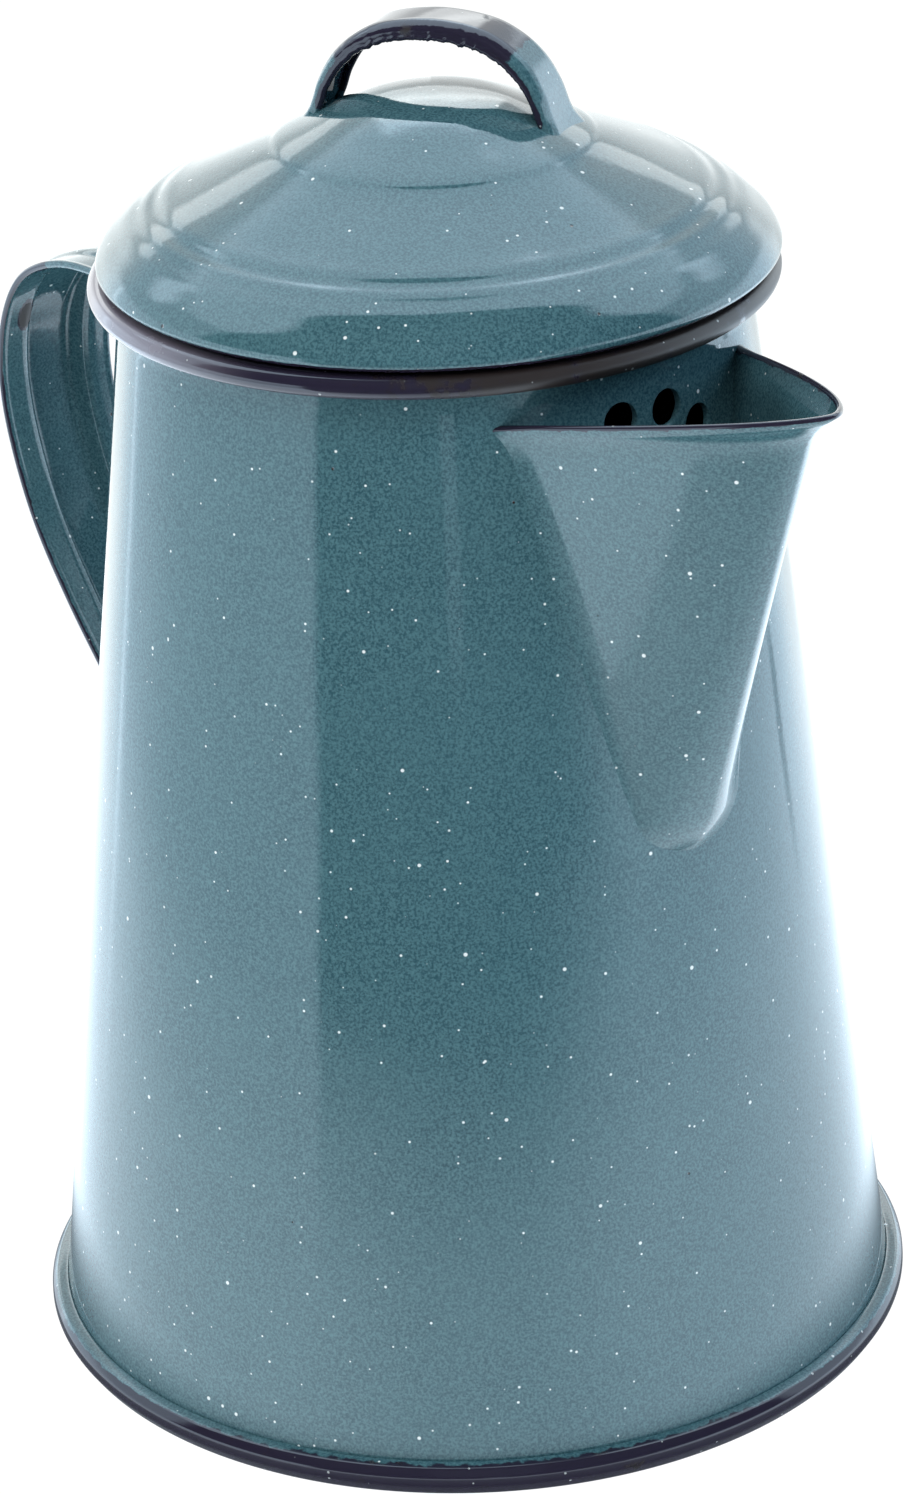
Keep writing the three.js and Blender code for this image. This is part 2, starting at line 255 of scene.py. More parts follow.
class Nodes:
    """A node tree, with short ways to add nodes and numbers."""

    def __init__(self, tree):
        self.tree = tree

    def add(self, kind, **settings):
        node = self.tree.nodes.new(kind)
        for key, value in settings.items():
            setattr(node, key, value)
        return node

    def put(self, value, socket):
        if isinstance(value, bpy.types.NodeSocket):
            self.tree.links.new(value, socket)
        else:
            socket.default_value = value

    def math(self, operation, first, second=0.0, third=0.0, clamp=False):
        node = self.add("ShaderNodeMath", operation=operation, use_clamp=clamp)
        for socket, number in zip(node.inputs, (first, second, third)):
            self.put(number, socket)
        return node.outputs[0]

    def total(self, first, *others):
        for other in others:
            first = self.math("ADD", first, other)
        return first

    def product(self, first, *others):
        for other in others:
            first = self.math("MULTIPLY", first, other)
        return first

    def ramp(self, value, low, high, to_low=0.0, to_high=1.0):
        node = self.add("ShaderNodeMapRange", interpolation_type="SMOOTHSTEP")
        for socket, number in zip(node.inputs, (value, low, high, to_low, to_high)):
            self.put(number, socket)
        return node.outputs[0]

    def band(self, value, low, high, soft):
        """1 between low and high, with soft edges."""
        rising = self.ramp(value, low - soft, low + soft)
        falling = self.ramp(value, high + soft, high - soft)
        return self.product(rising, falling)

    def split(self, vector):
        node = self.add("ShaderNodeSeparateXYZ")
        self.put(vector, node.inputs[0])
        return node.outputs


class Shader(Nodes):
    """A material's nodes."""

    def __init__(self, name):
        self.material = bpy.data.materials.new(name)
        self.material.use_nodes = True
        super().__init__(self.material.node_tree)
        self.surface = self.tree.nodes["Principled BSDF"]
        self.place = self.add("ShaderNodeTexCoord").outputs["Object"]

    def noise(self, scale, detail=2.0, rough=0.5, place=None):
        node = self.add("ShaderNodeTexNoise")
        self.put(place or self.place, node.inputs["Vector"])
        node.inputs["Scale"].default_value = scale
        node.inputs["Detail"].default_value = detail
        node.inputs["Roughness"].default_value = rough
        return node.outputs["Fac"]

    def mix(self, amount, first, second):
        node = self.add("ShaderNodeMix", data_type="RGBA")
        self.put(amount, node.inputs["Factor"])
        self.put(first, node.inputs["A"])
        self.put(second, node.inputs["B"])
        return node.outputs["Result"]

    def specks(self, per_metre, share, largest):
        """Round specks of different sizes: 1 inside one. largest is a share of the cell's width."""
        cells = self.add("ShaderNodeTexVoronoi")
        self.put(self.place, cells.inputs["Vector"])
        cells.inputs["Scale"].default_value = per_metre
        chance = self.add("ShaderNodeSeparateColor")
        self.put(cells.outputs["Color"], chance.inputs[0])
        size = self.ramp(chance.outputs[0], 1 - share, 1, 0, largest)
        inside = self.math("SUBTRACT", size, cells.outputs["Distance"])
        return self.math("MULTIPLY", inside, SPECK_EDGE / largest, clamp=True)

    def bump(self, height, depth, normal=None):
        node = self.add("ShaderNodeBump")
        node.inputs["Distance"].default_value = depth
        self.put(height, node.inputs["Height"])
        if normal is not None:
            self.put(normal, node.inputs["Normal"])
        return node.outputs["Normal"]


TEAL_DEEP = (0.026, 0.081, 0.105, 1)
TEAL_PALE = (0.081, 0.184, 0.214, 1)
SPECK_WHITE = (0.76, 0.84, 0.85, 1)
PURPLE = (0.019, 0.016, 0.033, 1)
# the lilac is a painted reflection: the bright room mirrored in the dark glaze seen edge-on
LILAC_SHEEN = (0.300, 0.285, 0.350, 1)
BURNT = (0.020, 0.014, 0.013, 1)
ALUMINIUM = (0.52, 0.53, 0.55, 1)
TARNISHED = (0.36, 0.35, 0.33, 1)


def enamel_material(name, waviness):
    """Speckled teal enamel. The mesh's dark value turns it purple at 1 and burnt brown at 2, and its
    second value, a painted reflection of the bright room, lightens the purple to lilac."""
    shader = Shader(name)
    mottle = shader.ramp(shader.noise(2300, 3, 0.6), 0.32, 0.68)
    teal = shader.mix(mottle, TEAL_DEEP, TEAL_PALE)
    cloud = shader.ramp(shader.noise(60, 3), 0.3, 0.7, 0.0, 0.16)
    teal = shader.mix(cloud, teal, TEAL_PALE)
    large = shader.specks(350, 0.30, 0.14)
    small = shader.specks(700, 0.20, 0.19)
    white = shader.math("MAXIMUM", large, small)
    teal = shader.mix(white, teal, SPECK_WHITE)
    pinholes = shader.specks(210, 0.05, 0.10)
    teal = shader.mix(pinholes, teal, BURNT)

    dark_value = shader.add("ShaderNodeAttribute", attribute_name="dark").outputs["Fac"]
    ragged = shader.math("SUBTRACT", shader.noise(420, 4, 0.6), 0.5)
    dark_amount = shader.ramp(shader.total(dark_value, ragged), 0.42, 0.58)
    burnt = shader.math("SUBTRACT", dark_value, 1.0, clamp=True)
    patches = shader.total(shader.noise(170, 5, 0.65), shader.product(burnt, 0.28))
    worn = shader.ramp(patches, 0.58, 0.74)
    dark = shader.mix(worn, PURPLE, BURNT)
    # painted reflection: the second mesh value lightens the dark glaze to lilac
    sheen_value = shader.add("ShaderNodeAttribute", attribute_name="painted_sheen").outputs["Fac"]
    dark = shader.mix(sheen_value, dark, LILAC_SHEEN)
    dark = shader.mix(shader.product(small, 0.5), dark, SPECK_WHITE)
    shader.put(shader.mix(dark_amount, teal, dark), shader.surface.inputs["Base Color"])

    dark_rough = shader.ramp(worn, 0, 1, 0.03, 0.42)
    rough = shader.total(shader.product(dark_amount, dark_rough), 0.045)
    shader.put(rough, shader.surface.inputs["Roughness"])
    shader.surface.inputs["IOR"].default_value = 1.52

    swell = shader.bump(shader.noise(30, 1), waviness)
    peel = shader.bump(shader.noise(900, 2), 0.000008, swell)
    pits = shader.bump(shader.math("SUBTRACT", 1.0, pinholes), 0.00008, peel)
    shader.put(pits, shader.surface.inputs["Normal"])
    return shader.material


def aluminium_material(name):
    """Spun aluminium: fine turning lines round the axis and a little tarnish."""
    shader = Shader(name)
    x, y, z = shader.split(shader.place)
    radius = shader.math("SQRT", shader.total(shader.product(x, x), shader.product(y, y)))
    rings = shader.add("ShaderNodeCombineXYZ")
    shader.put(radius, rings.inputs[0])
    shader.put(z, rings.inputs[2])
    lines = shader.noise(5200, 2, 0.6, rings.outputs[0])
    tarnish = shader.ramp(shader.noise(55, 4, 0.6), 0.45, 0.75, 0, 0.6)
    shader.put(shader.mix(tarnish, ALUMINIUM, TARNISHED), shader.surface.inputs["Base Color"])
    shader.surface.inputs["Metallic"].default_value = 1
    rough = shader.total(shader.ramp(lines, 0.3, 0.7, 0.24, 0.38), shader.product(tarnish, 0.12))
    shader.put(rough, shader.surface.inputs["Roughness"])
    shader.put(shader.bump(lines, 0.00002), shader.surface.inputs["Normal"])
    return shader.material


# ---------------------------------------------------------------- the pot

def strainer_cutters():
    """Drills with a trumpet-shaped mouth, which leaves the holes' outer edges rounded."""
    edge = 0.5
    face = 9.42             # from the drill's wide end to the wall's outer face
    wide = HOLE_RADIUS + 1.6
    profile = [(wide, 0), (wide, face)]
    for angle in np.linspace(0, math.pi / 2, 6):
        radius = HOLE_RADIUS + edge * (1 - math.sin(angle))
        profile.append((radius, face + edge * (1 - math.cos(angle)) + 0.02))
    profile.append((HOLE_RADIUS, 16))
    places = []
    for across, height in STRAINER_HOLES:
        azimuth = math.asin(across / wall_radius(height))
        turn = Matrix.Rotation(azimuth, 4, "Z")
        start = turn @ Vector((wall_radius(height) + face, 0, height))
        places.append(Matrix.Translation(start) @ turn @ Matrix.Rotation(-math.pi / 2, 4, "Y"))
    return cutter_mesh(profile, places, 32)


def body_shell(enamel):
    """The cone with its foot flange and its neck, pierced behind the spout."""
    line = filleted([(73.6, 5.3, 0), (72.2, 5.5, 1.2), (71.95, 8, 3), (wall_radius(14), 14, 0),
                     (WALL["neck_radius"], WALL["neck_height"], 8), (51.75, RIM_TOP - 1.5, 0)])
    outline = sheet(subdivided(line, 3.5), WALL["thickness"])
    mesh = lathe("pot_wall", outline)
    mesh = cut_by(mesh, strainer_cutters())
    piece = new_piece("pot_wall", mesh, enamel, "pot", "body_shell")
    mesh.set_sharp_from_angle(angle=math.radians(38))
    return piece


def bottom_pan(enamel):
    """The bottom disc, whose edge is rolled over the wall's flange."""
    underside = [(0, 0, 0), (30, 0, 0), (68.5, 0, 3), (73.4, 1.6, 3), (BASE_RADIUS, 4, 1.6)]
    top = [(BASE_RADIUS - 0.05, 5.6, 1.2), (73.9, 6.9, 1), (71.9, 7.25, 0.3), (72.3, 6.3, 0.3),
           (73.7, 5.8, 0.3), (74, 4.2, 0.4), (70.6, 3.85, 1.5), (68.9, 1.2, 1), (30, 1.2, 0), (0, 1.2, 0)]
    outline = subdivided(filleted(underside + top), 4)

    def dark(radius, height, turn):
        # The dark rolled edge is the enamel's own colour; painted shade lifts its top 0.9 mm on the side
        # facing the camera and the dark front of the room, and lowers it as much on the far side.
        edge = 6.1 + 0.9 * math.cos(turn - VIEW_AZIMUTH)
        return float(smoothstep(radius, 71.6, 72.8) * (1 - smoothstep(height, edge - 0.5, edge + 0.7)))

    mesh = lathe("bottom", outline, dark=dark)
    return new_piece("bottom", mesh, enamel, "pot", "bottom_pan")


def rim_ring(enamel):
    """The rolled bead over the neck's edge: burnt towards the spout, and lilac on the side to the camera's
    left, where a painted reflection of the bright room lightens it.
    """
    burnt_side = math.radians(15)
    sheen_side = math.radians(-130)
    foot = RIM_TOP - 4.2
    outline = filleted([(52.15, foot, 0), (53.6, foot, 0.6), (56, foot + 0.9, 1.6),
                        (RIM_RADIUS, RIM_TOP - 1.9, 1.4), (55.5, RIM_TOP, 1.6), (52, RIM_TOP, 1),
                        (50.9, RIM_TOP - 0.2, 0.4), (50.9, RIM_TOP - 1.15, 0.1),
                        (52.15, RIM_TOP - 1.15, 0.1), (52.15, foot, 0)])

    def dark(radius, height, turn):
        return 1 + float(smoothstep(math.cos(turn - burnt_side), 0.3, 0.8))

    mesh = lathe("rim", outline[:-1], dark=dark)
    turns = np.array([math.atan2(vertex.co.y, vertex.co.x) for vertex in mesh.vertices])
    # painted reflection: strongest on the rim's side to the camera's left, where the bead mirrors the
    # bright room at a grazing angle
    painted_sheen = 0.8 * smoothstep(np.cos(turns - sheen_side), 0.45, 1.0)
    values = mesh.attributes.new("painted_sheen", "FLOAT", "POINT")
    values.data.foreach_set("value", painted_sheen.astype(np.float32))
    return new_piece("rim", mesh, enamel, "pot", "rim_ring")


SPOUT = {"bottom": 104.6, "round_to": 113, "lip_root": 180, "lip_slope": 0.168, "root_x": 46.6,
         "ridge_x": 65.9, "ridge_z": 116.2, "ridge_slope": 0.333, "side_width": 11.9, "side_slope": 0.178,
         "fold": 1.61, "flare_start": 174.5, "nose_flare": 4.9, "side_flare": 1.3, "thickness": 1.3}


def spout_point(level, along, inset):
    """A point of the spout's skin: level is its height at the wall, and along runs across it, -1 to 1."""
    s = SPOUT
    tilt = s["lip_slope"] * float(smoothstep(level, s["bottom"], s["lip_root"]))
    roundness = min(max(0, (s["round_to"] - level) / (s["round_to"] - s["bottom"])), 0.9999)
    flare = max(0, (level - s["flare_start"]) / (s["lip_root"] - s["flare_start"])) ** 2
    straight = s["ridge_x"] + s["ridge_slope"] * (level - s["ridge_z"] - tilt * s["root_x"])
    nose = straight / (1 - s["ridge_slope"] * tilt) - 1.6 * roundness ** 2
    nose += s["nose_flare"] * flare - 1.2 * inset
    width = s["side_width"] + s["side_slope"] * max(0, level - s["round_to"]) + s["side_flare"] * flare
    side = max(0.4, width * math.sqrt(1 - roundness ** 2) - 1.05 * inset)
    root = math.sqrt(wall_radius(level) ** 2 - side ** 2) - 0.65
    weld = 1.1 * max(0, (abs(along) - 0.9) / 0.1) ** 2 if inset == 0 else 0
    x = nose - (nose - root) * abs(along) ** s["fold"]
    y = side * along + math.copysign(weld, along)
    return x, y, level + tilt * (x - s["root_x"])


def spout(enamel):
    """The folded spout: an outer and an inner skin that meet in a rounded lip."""
    s = SPOUT
    across = np.linspace(-1, 1, 121)
    across = np.sign(across) * np.abs(across) ** 1.15
    depth = s["round_to"] - s["bottom"]
    low = [s["round_to"] - depth * math.cos(a) for a in np.linspace(0.03, math.pi / 2, 14)]
    high = np.linspace(s["round_to"], s["lip_root"], 48)[1:]
    levels = [*low, *high]
    outer = [[spout_point(level, a, 0) for a in across] for level in levels]
    rise = [1.6 * (s["lip_root"] - level) / 75 for level in levels]
    inner = [[spout_point(level + up, a, s["thickness"]) for a in across]
             for level, up in zip(levels, rise)]
    rows = [*outer]
    for angle in np.linspace(0, math.pi, 8)[1:-1]:
        blend = (1 - math.cos(angle)) / 2
        lifted = np.array(outer[-1]) * (1 - blend) + np.array(inner[-1]) * blend
        lifted[:, 2] += 0.75 * math.sin(angle)
        rows.append(lifted)
    rows += inner[::-1]
    rows = np.array(rows)
    lip_height = s["lip_slope"] * (rows[:, :, 0] - s["root_x"]) + s["lip_root"]
    below_lip = lip_height - rows[:, :, 2]
    dark = 1 - smoothstep(below_lip, -0.35, 0.30)
    columns = len(across)
    faces = grid_faces(len(rows), columns, True, False)
    mesh = new_mesh("spout", rows.reshape(-1, 3), faces, dark.reshape(-1))
    return new_piece("spout_sheet", mesh, enamel, "pot", "spout")


# ---------------------------------------------------------------- straps

def ribbon(line, thickness, count):
    """The closed section of a pressed strip, and how far each point lies past its middle line's ends."""
    middle = evenly(line, count)
    side = left_normals(middle) * thickness / 2
    right = middle - side
    left = middle + side
    bead = thickness * 0.62

    def end(first, last, away):
        centre = (first + last) / 2
        arm = (first - centre) / np.linalg.norm(first - centre) * bead
        turns = np.linspace(0, math.pi, 7)
        return [centre + arm * math.cos(a) + away * bead * math.sin(a) for a in turns]

    out_end = (middle[-1] - middle[-2]) / np.linalg.norm(middle[-1] - middle[-2])
    in_end = (middle[0] - middle[1]) / np.linalg.norm(middle[0] - middle[1])
    section = np.array([*right[1:-1], *end(right[-1], left[-1], out_end),
                        *left[-2:0:-1], *end(left[0], right[0], in_end)])
    past_end = np.maximum((section - middle[-1]) @ out_end, (section - middle[0]) @ in_end)
    return section, past_end


def strap_rows(path, section_at, place):
    """The section placed at each point of an upright path, by place(distance, height, across)."""
    normals = left_normals(path)
    rows = []
    edges = []
    for i, (point, outward) in enumerate(zip(path, normals)):
        section, past_end = section_at(i / (len(path) - 1))
        rows.append([place(*(point + outward * out), across) for across, out in section])
        edges.append(past_end)
    return np.array(rows), np.array(edges)


SIDE_HANDLE = {
    "path": [(50, 169.4), (66, 169.4), (81, 169.3), (94, 168.2), (104.5, 163.4), (110.7, 154.5),
             (113, 143.5), (111.4, 131.5), (105.9, 117.3), (97, 104.2), (86, 91.2), (74, 77), (60, 60.5)],
    "steps": 220,
    "thickness": 1.2,
    "top_half": 10.2, "half": 10.9,                 # half the width, along the top and below
    "channel": (5.9, 7.2), "crown": (4.4, 5.5),     # on the near and on the far side of the middle
    "end_depth": 0.7, "depth": 4.3,                 # of the channel, at the ends and in between
    "twist": 4, "shift": (1.1, 1.3),                # it stands a little askew
    "chip": (-5.7, 0.374, 1.5, 0.018),              # across, along, and half its size each way
    "worn_corner": (-9, 0.272, 3.2, 0.014),         # the same for the dark corner of the bend
}


def spot(across, along, at):
    """How far each point lies from a spot, in spot sizes, squared."""
    return ((across - at[0]) / at[2]) ** 2 + ((along - at[1]) / at[3]) ** 2


def side_handle(enamel):
    """The pressed strap: a channel open towards the pot, nearly flat along the top."""
    h = SIDE_HANDLE

    def section_at(along):
        swell = smoothstep(along, 0.27, 0.42) * (1 - smoothstep(along, 0.75, 0.93))
        depth = h["end_depth"] + (h["depth"] - h["end_depth"]) * float(swell)
        half = h["top_half"] + (h["half"] - h["top_half"]) * float(smoothstep(along, 0.15, 0.35))
        weld = 1.5 * float(1 - smoothstep(along, 0.075, 0.10) + smoothstep(along, 0.93, 0.955))
        half += weld
        base = h["thickness"] / 2
        near_side, far_side = ([(half, base, 0), (channel, base, 1.4), (crown, depth + base, 2.2)]
                               for channel, crown in zip(h["channel"], h["crown"]))
        line = far_side + [(-across, out, radius) for across, out, radius in near_side[::-1]]
        return ribbon(filleted(line, 6)[::-1], h["thickness"] * (1 + 0.3 * weld), 60)

    def place(distance, height, across):
        askew = float(smoothstep(distance, 66, 88))
        x = -distance + askew * (h["shift"][0] + across * math.sin(math.radians(h["twist"])))
        y = across + askew * h["shift"][1]
        limit = wall_radius(height) - 0.4
        if math.hypot(x, y) < limit:
            x = -math.sqrt(max(limit ** 2 - y ** 2, 0))
        return x, y, height

    path = spline(h["path"], h["steps"])
    rows, past_end = strap_rows(path, section_at, place)
    across = rows[:, :, 1]
    along = np.linspace(0, 1, len(rows))[:, None] * np.ones(rows.shape[1])
    edge = smoothstep(past_end, 0.05, 0.62) * smoothstep(along, 0.255, 0.285)
    chip = 1 - smoothstep(spot(across, along, h["chip"]), 0.5, 1.6)
    corner = np.exp(-spot(across, along, h["worn_corner"]))
    dark = np.maximum(np.maximum(edge, chip * 2), corner * 0.9)
    mesh = strap_mesh("side_strap", rows, dark)
    return new_piece("side_strap", mesh, enamel, "pot", "side_handle")


def strap_mesh(name, rows, dark):
    count, around = rows.shape[:2]
    faces = grid_faces(count, around, False, True)
    faces.append(tuple(range(around)))
    faces.append(tuple((count - 1) * around + k for k in range(around)))
    return new_mesh(name, rows.reshape(-1, 3), faces, dark.reshape(-1))


# ---------------------------------------------------------------- the lid

# The dome's section: each point is a radius and a height under the crown. The steps are pressed rings.
LID_LINE = [(0, -0.95), (4, -1), (8, -1.25), (11.5, -1.85), (15, -3.1), (19.5, -5.1), (25, -7.5),
            (27, -8.85), (31, -10.8), (40.5, -15), (43.6, -16.3), (45.4, -17.6), (47.2, -18.3),
            (48.6, -19.3), (50.3, -20.4), (52, -21.9), (54.2, -24.1), (55.5, -26.2), (55.6, -27.3),
            (54.9, -28.1)]
LID_SHIFT = (0.55, 0.70)        # the lid lies a little to one side in its seat


@functools.cache
def lid_line():
    """The dome's outer face, from the middle to the turned-in edge."""
    points = [(-r, z) for r, z in LID_LINE[3:0:-1]] + LID_LINE
    line = spline(points, 210)
    line = line[line[:, 0] > 0.2]
    line = np.vstack([LID_LINE[0], line])
    line[:, 1] += LID_TOP
    return line


def dome_height(radius):
    line = lid_line()
    rising = line[:np.argmax(line[:, 0])]
    return float(np.interp(radius, rising[:, 0], rising[:, 1]))


def lid_shell(enamel):
    """The dome. Its edge is turned in a little and has run dark in the firing."""
    thickness = 1.2
    outer = lid_line()
    inner = outer - left_normals(outer) * thickness
    edge = rounded_end(inner[-1], outer[-1])[::-1]
    underside = [p for p in inner[::-1] if p[0] > 0.5]
    outline = [*outer, *edge, *underside, (0, underside[-1][1])]

    def dark(radius, height, turn):
        low = 1 - smoothstep(height, LID_TOP - 27.9, LID_TOP - 27.1)
        return float(smoothstep(radius, 53.2, 54.3) * low)

    mesh = lathe("lid_dome", outline, dark=dark, centre=LID_SHIFT)
    return new_piece("lid_dome", mesh, enamel, "lid", "lid_shell")


def lid_locating_ring(enamel):
    """The ring whose shoulder rests on the rim and whose skirt hangs in the mouth."""
    shoulder = RIM_TOP + 0.3
    skirt_radius, flange_radius = 49.4, 52.9
    line = filleted([(skirt_radius, bottom_of("lid_locating_ring"), 0), (skirt_radius, shoulder, 0.9),
                     (flange_radius, shoulder, 0.8), (flange_radius, top_of("lid_locating_ring"), 0)])
    outline = sheet(subdivided(line, 2), 1)
    mesh = lathe("lid_skirt", outline, dark=lambda radius, height, turn: 1, centre=LID_SHIFT)
    return new_piece("lid_skirt", mesh, enamel, "lid", "lid_locating_ring")


GRIP = {
    "azimuth": 30, "offset": 3.6,
    "half_path": [(23.8, 210), (22.4, 212.2), (20.7, 215.6), (19.3, 219.6), (16.8, 223.8), (13, 227.2),
                  (8, 229.5)],
    "crown": 230.5,
    "steps": 200,
    "thickness": 1.2,
    "crown_half": 5.3, "foot_half": 6.2,            # half the width
    "crown_flank": 2.5, "foot_flank": 1.5,          # how far the flanks turn down
    "shoulder": 1.2, "shoulder_drop": 0.45,         # the round edges: a width, and a share of the flank
}


def lid_handle(enamel):
    """The strap grip: dark on its crown, where it has worn, and teal on its legs."""
    g = GRIP

    def section_at(along):
        crown = max(0, math.sin(along * math.pi)) ** 1.5
        foot = float(1 - smoothstep(along, 0.03, 0.085) + smoothstep(along, 0.915, 0.97))
        half = g["foot_half"] + (g["crown_half"] - g["foot_half"]) * crown + 1.3 * foot
        flank = g["foot_flank"] + (g["crown_flank"] - g["foot_flank"]) * crown + 0.3 * foot
        drips = 0.55 * noise.noise(Vector((along * 38, 3.1, 0)))
        drips += 0.3 * noise.noise(Vector((along * 120, 9, 0)))
        near_flank = flank + drips * crown
        t = g["thickness"] / 2
        edge = half - t
        top_edge = edge - g["shoulder"]
        line = [(-edge, -flank, 0),
                (-edge, -t - g["shoulder_drop"] * (flank - t), 1.5),
                (-top_edge, -t, 2.0),
                (top_edge, -t, 2.0),
                (edge, -t - g["shoulder_drop"] * (near_flank - t), 1.5),
                (edge, -near_flank, 0)]
        return ribbon(filleted(line, 6)[::-1], g["thickness"] * (1 + 0.25 * foot), 56)

    spin = math.radians(g["azimuth"])

    def place(distance, height, across):
        across = g["offset"] - across
        floor = dome_height(math.hypot(distance, across)) - 0.35
        x = LID_SHIFT[0] + distance * math.cos(spin) - across * math.sin(spin)
        y = LID_SHIFT[1] + distance * math.sin(spin) + across * math.cos(spin)
        return x, y, max(height, floor)

    half = g["half_path"]
    path = spline([(-d, z) for d, z in half] + [(0, g["crown"])] + half[::-1], g["steps"])
    rows, past_end = strap_rows(path, section_at, place)
    along = np.linspace(0, 1, len(rows))[:, None] * np.ones(rows.shape[1])
    crown = smoothstep(along, 0.16, 0.30) * (1 - smoothstep(along, 0.69, 0.76))
    off_feet = smoothstep(along, 0.06, 0.12) * (1 - smoothstep(along, 0.89, 0.94))
    dark = np.maximum(crown, smoothstep(past_end, -1.1, 0.1) * off_feet)
    mesh = strap_mesh("lid_strap", rows, dark)
    return new_piece("lid_strap", mesh, enamel, "lid", "lid_handle")


# ---------------------------------------------------------------- the percolator works

STEM_RADIUS, STEM_BORE = 4.75, 3.75
SLEEVE_RADIUS, SLEEVE_BORE = 6.3, 5.5
DRILL_RADIUS, DRILL_LENGTH = 1.1, 6
COVER_RIM = 168.5               # the height of the cover's rim
SHEET = 0.8                     # the thickness of the basket's cover and sleeve flanges


def drill_holes(mesh, rings, height):
    """Drills rings of small round holes: each ring is (distance from the axis, number of holes)."""
    places = []
    for distance, number in rings:
        for k in range(number):
            turn = Matrix.Rotation(2 * math.pi * k / number, 4, "Z")
            places.append(turn @ Matrix.Translation((distance, 0, height - DRILL_LENGTH / 2)))
    return cut_by(mesh, cutter_mesh([(DRILL_RADIUS, 0), (DRILL_RADIUS, DRILL_LENGTH)], places, 14))


def turned(name, corners, sides, spacing=4):
    """A turned aluminium piece from its closed outline."""
    outline = subdivided(filleted([*corners, corners[0]], 4), spacing)[:-1]
    return lathe(name, outline, sides)


def works_piece(name, mesh, metal, body, node):
    piece = new_piece(name, mesh, metal, body, node)
    mesh.set_sharp_from_angle(angle=math.radians(40))
    return piece


def pump(metal):
    """The stem, its bell with four water inlets, and the collar that the basket rests on."""
    low, high = 12, top_of("pump_tube")
    stem = turned("stem", [(STEM_BORE, low, 0), (STEM_RADIUS, low, 0.3), (STEM_RADIUS, high, 0.4),
                           (STEM_BORE, high, 0.4)], SMALL_ROUND, 8)
    works_piece("stem", stem, metal, "pump", "pump_tube")

    line = filleted([(30, 1.5, 0), (29.4, 4.5, 2), (26, 8, 6), (11, 15.2, 8), (6.1, 19.5, 4),
                     (6.1, 26, 0)])
    bell = lathe("pump_bell", sheet(subdivided(line, 1.5), 1), BELL_ROUND)
    arches = []
    for k in range(4):
        turn = Matrix.Rotation(math.radians(45 + 90 * k), 4, "Z")
        start = Matrix.Translation((22, 0, 1.5))
        arches.append(turn @ start @ Matrix.Rotation(math.pi / 2, 4, "Y"))
    bell = cut_by(bell, cutter_mesh([(3.2, 0), (3.2, 16)], arches, 32))
    works_piece("pump_bell", bell, metal, "pump", "pump_foot")

    low, high = bottom_of("basket_stop"), top_of("basket_stop")
    stop = turned("stem_stop", [(5.05, low, 0), (6.6, low, 0.4), (7.2, low + 1, 0.4), (7.2, high, 0.5),
                                (5.05, high, 0.2)], SMALL_ROUND, 2)
    works_piece("stem_stop", stop, metal, "pump", "basket_stop")


def basket(metal):
    """The cup with its perforated floor, and the sleeve that holds it and slides on the stem."""
    floor, top = bottom_of("basket_cup"), top_of("basket_cup")
    cup = turned("basket", [(6.7, floor, 0), (36.2, floor, 1.2), (38, top - 2, 0.8), (39.2, top - 2, 0.5),
                            (39.6, top - 0.8, 0.6), (38.8, top, 0.6), (37.1, top, 0.5),
                            (35.6, floor + 0.9, 1), (6.7, floor + 0.9, 0)], BASKET_ROUND)
    cup = drill_holes(cup, [(13, 6), (20, 12), (27, 18)], floor)
    works_piece("basket", cup, metal, "basket", "basket_cup")

    low, high = bottom_of("basket_sleeve"), top_of("basket_sleeve")
    above = floor + 1.2
    corners = [(SLEEVE_BORE, low, 0), (9, low, 0.3), (9, low + SHEET, 0.3),
               (SLEEVE_RADIUS, low + SHEET, 0.2), (SLEEVE_RADIUS, above, 0), (8.4, above, 0.2),
               (8.4, above + SHEET, 0.3), (SLEEVE_RADIUS, above + SHEET, 0.3),
               (SLEEVE_RADIUS, high, 0.3), (SLEEVE_BORE, high, 0.3)]
    sleeve = turned("basket_sleeve", corners, SMALL_ROUND, 6)
    works_piece("basket_sleeve", sleeve, metal, "basket", "basket_sleeve")


def basket_cover(metal):
    """The perforated spreader, a dish with a collar round the stem."""
    plate, rim = bottom_of("basket_cover"), COVER_RIM
    corners = [(5.7, plate, 0), (36.3, plate, 1), (36.3, rim, 0.5), (39.2, rim, 0.3),
               (39.2, rim + SHEET, 0.3), (35.5, rim + SHEET, 0.8), (35.5, plate + SHEET, 0.8),
               (6.5, plate + SHEET, 0.8), (6.5, plate + 6, 0.3), (5.7, plate + 6, 0.3)]
    cover = turned("basket_cover", corners, BASKET_ROUND)
    cover = drill_holes(cover, [(12, 6), (20, 12), (28, 18)], plate)
    works_piece("basket_cover", cover, metal, "cover", "basket_cover")


# ---------------------------------------------------------------- studio

VIEW_AZIMUTH = math.radians(-38.75)       # the camera stands at this azimuth
LIGHTS_AIM = Vector((0, 0, 0.1))
TABLE_LIGHT = 0.64
BACKDROP_LIGHT = 1.05


def towards_camera(nodes, x, y):
    """How far a direction points, or a place lies, towards the camera's side."""
    return nodes.total(nodes.product(x, math.cos(VIEW_AZIMUTH)), nodes.product(y, math.sin(VIEW_AZIMUTH)))


def right_of_camera(nodes, x, y):
    """How far a direction points, or a place lies, to the camera's right."""
    return nodes.math("SUBTRACT", nodes.product(y, math.cos(VIEW_AZIMUTH)),
                      nodes.product(x, math.sin(VIEW_AZIMUTH)))


def plain_light(name, watts, size, place, colour=(1, 1, 1)):
    """A soft box that lights surfaces but isn't mirrored in them."""
    data = bpy.data.lights.new(name, "AREA")
    data.energy = watts
    data.color = colour
    data.size = size
    lamp = new_object(name, data)
    lamp.location = place
    lamp.rotation_euler = (Vector(place) - LIGHTS_AIM).to_track_quat("Z", "Y").to_euler()
    lamp.visible_glossy = False
    lamp.visible_camera = False


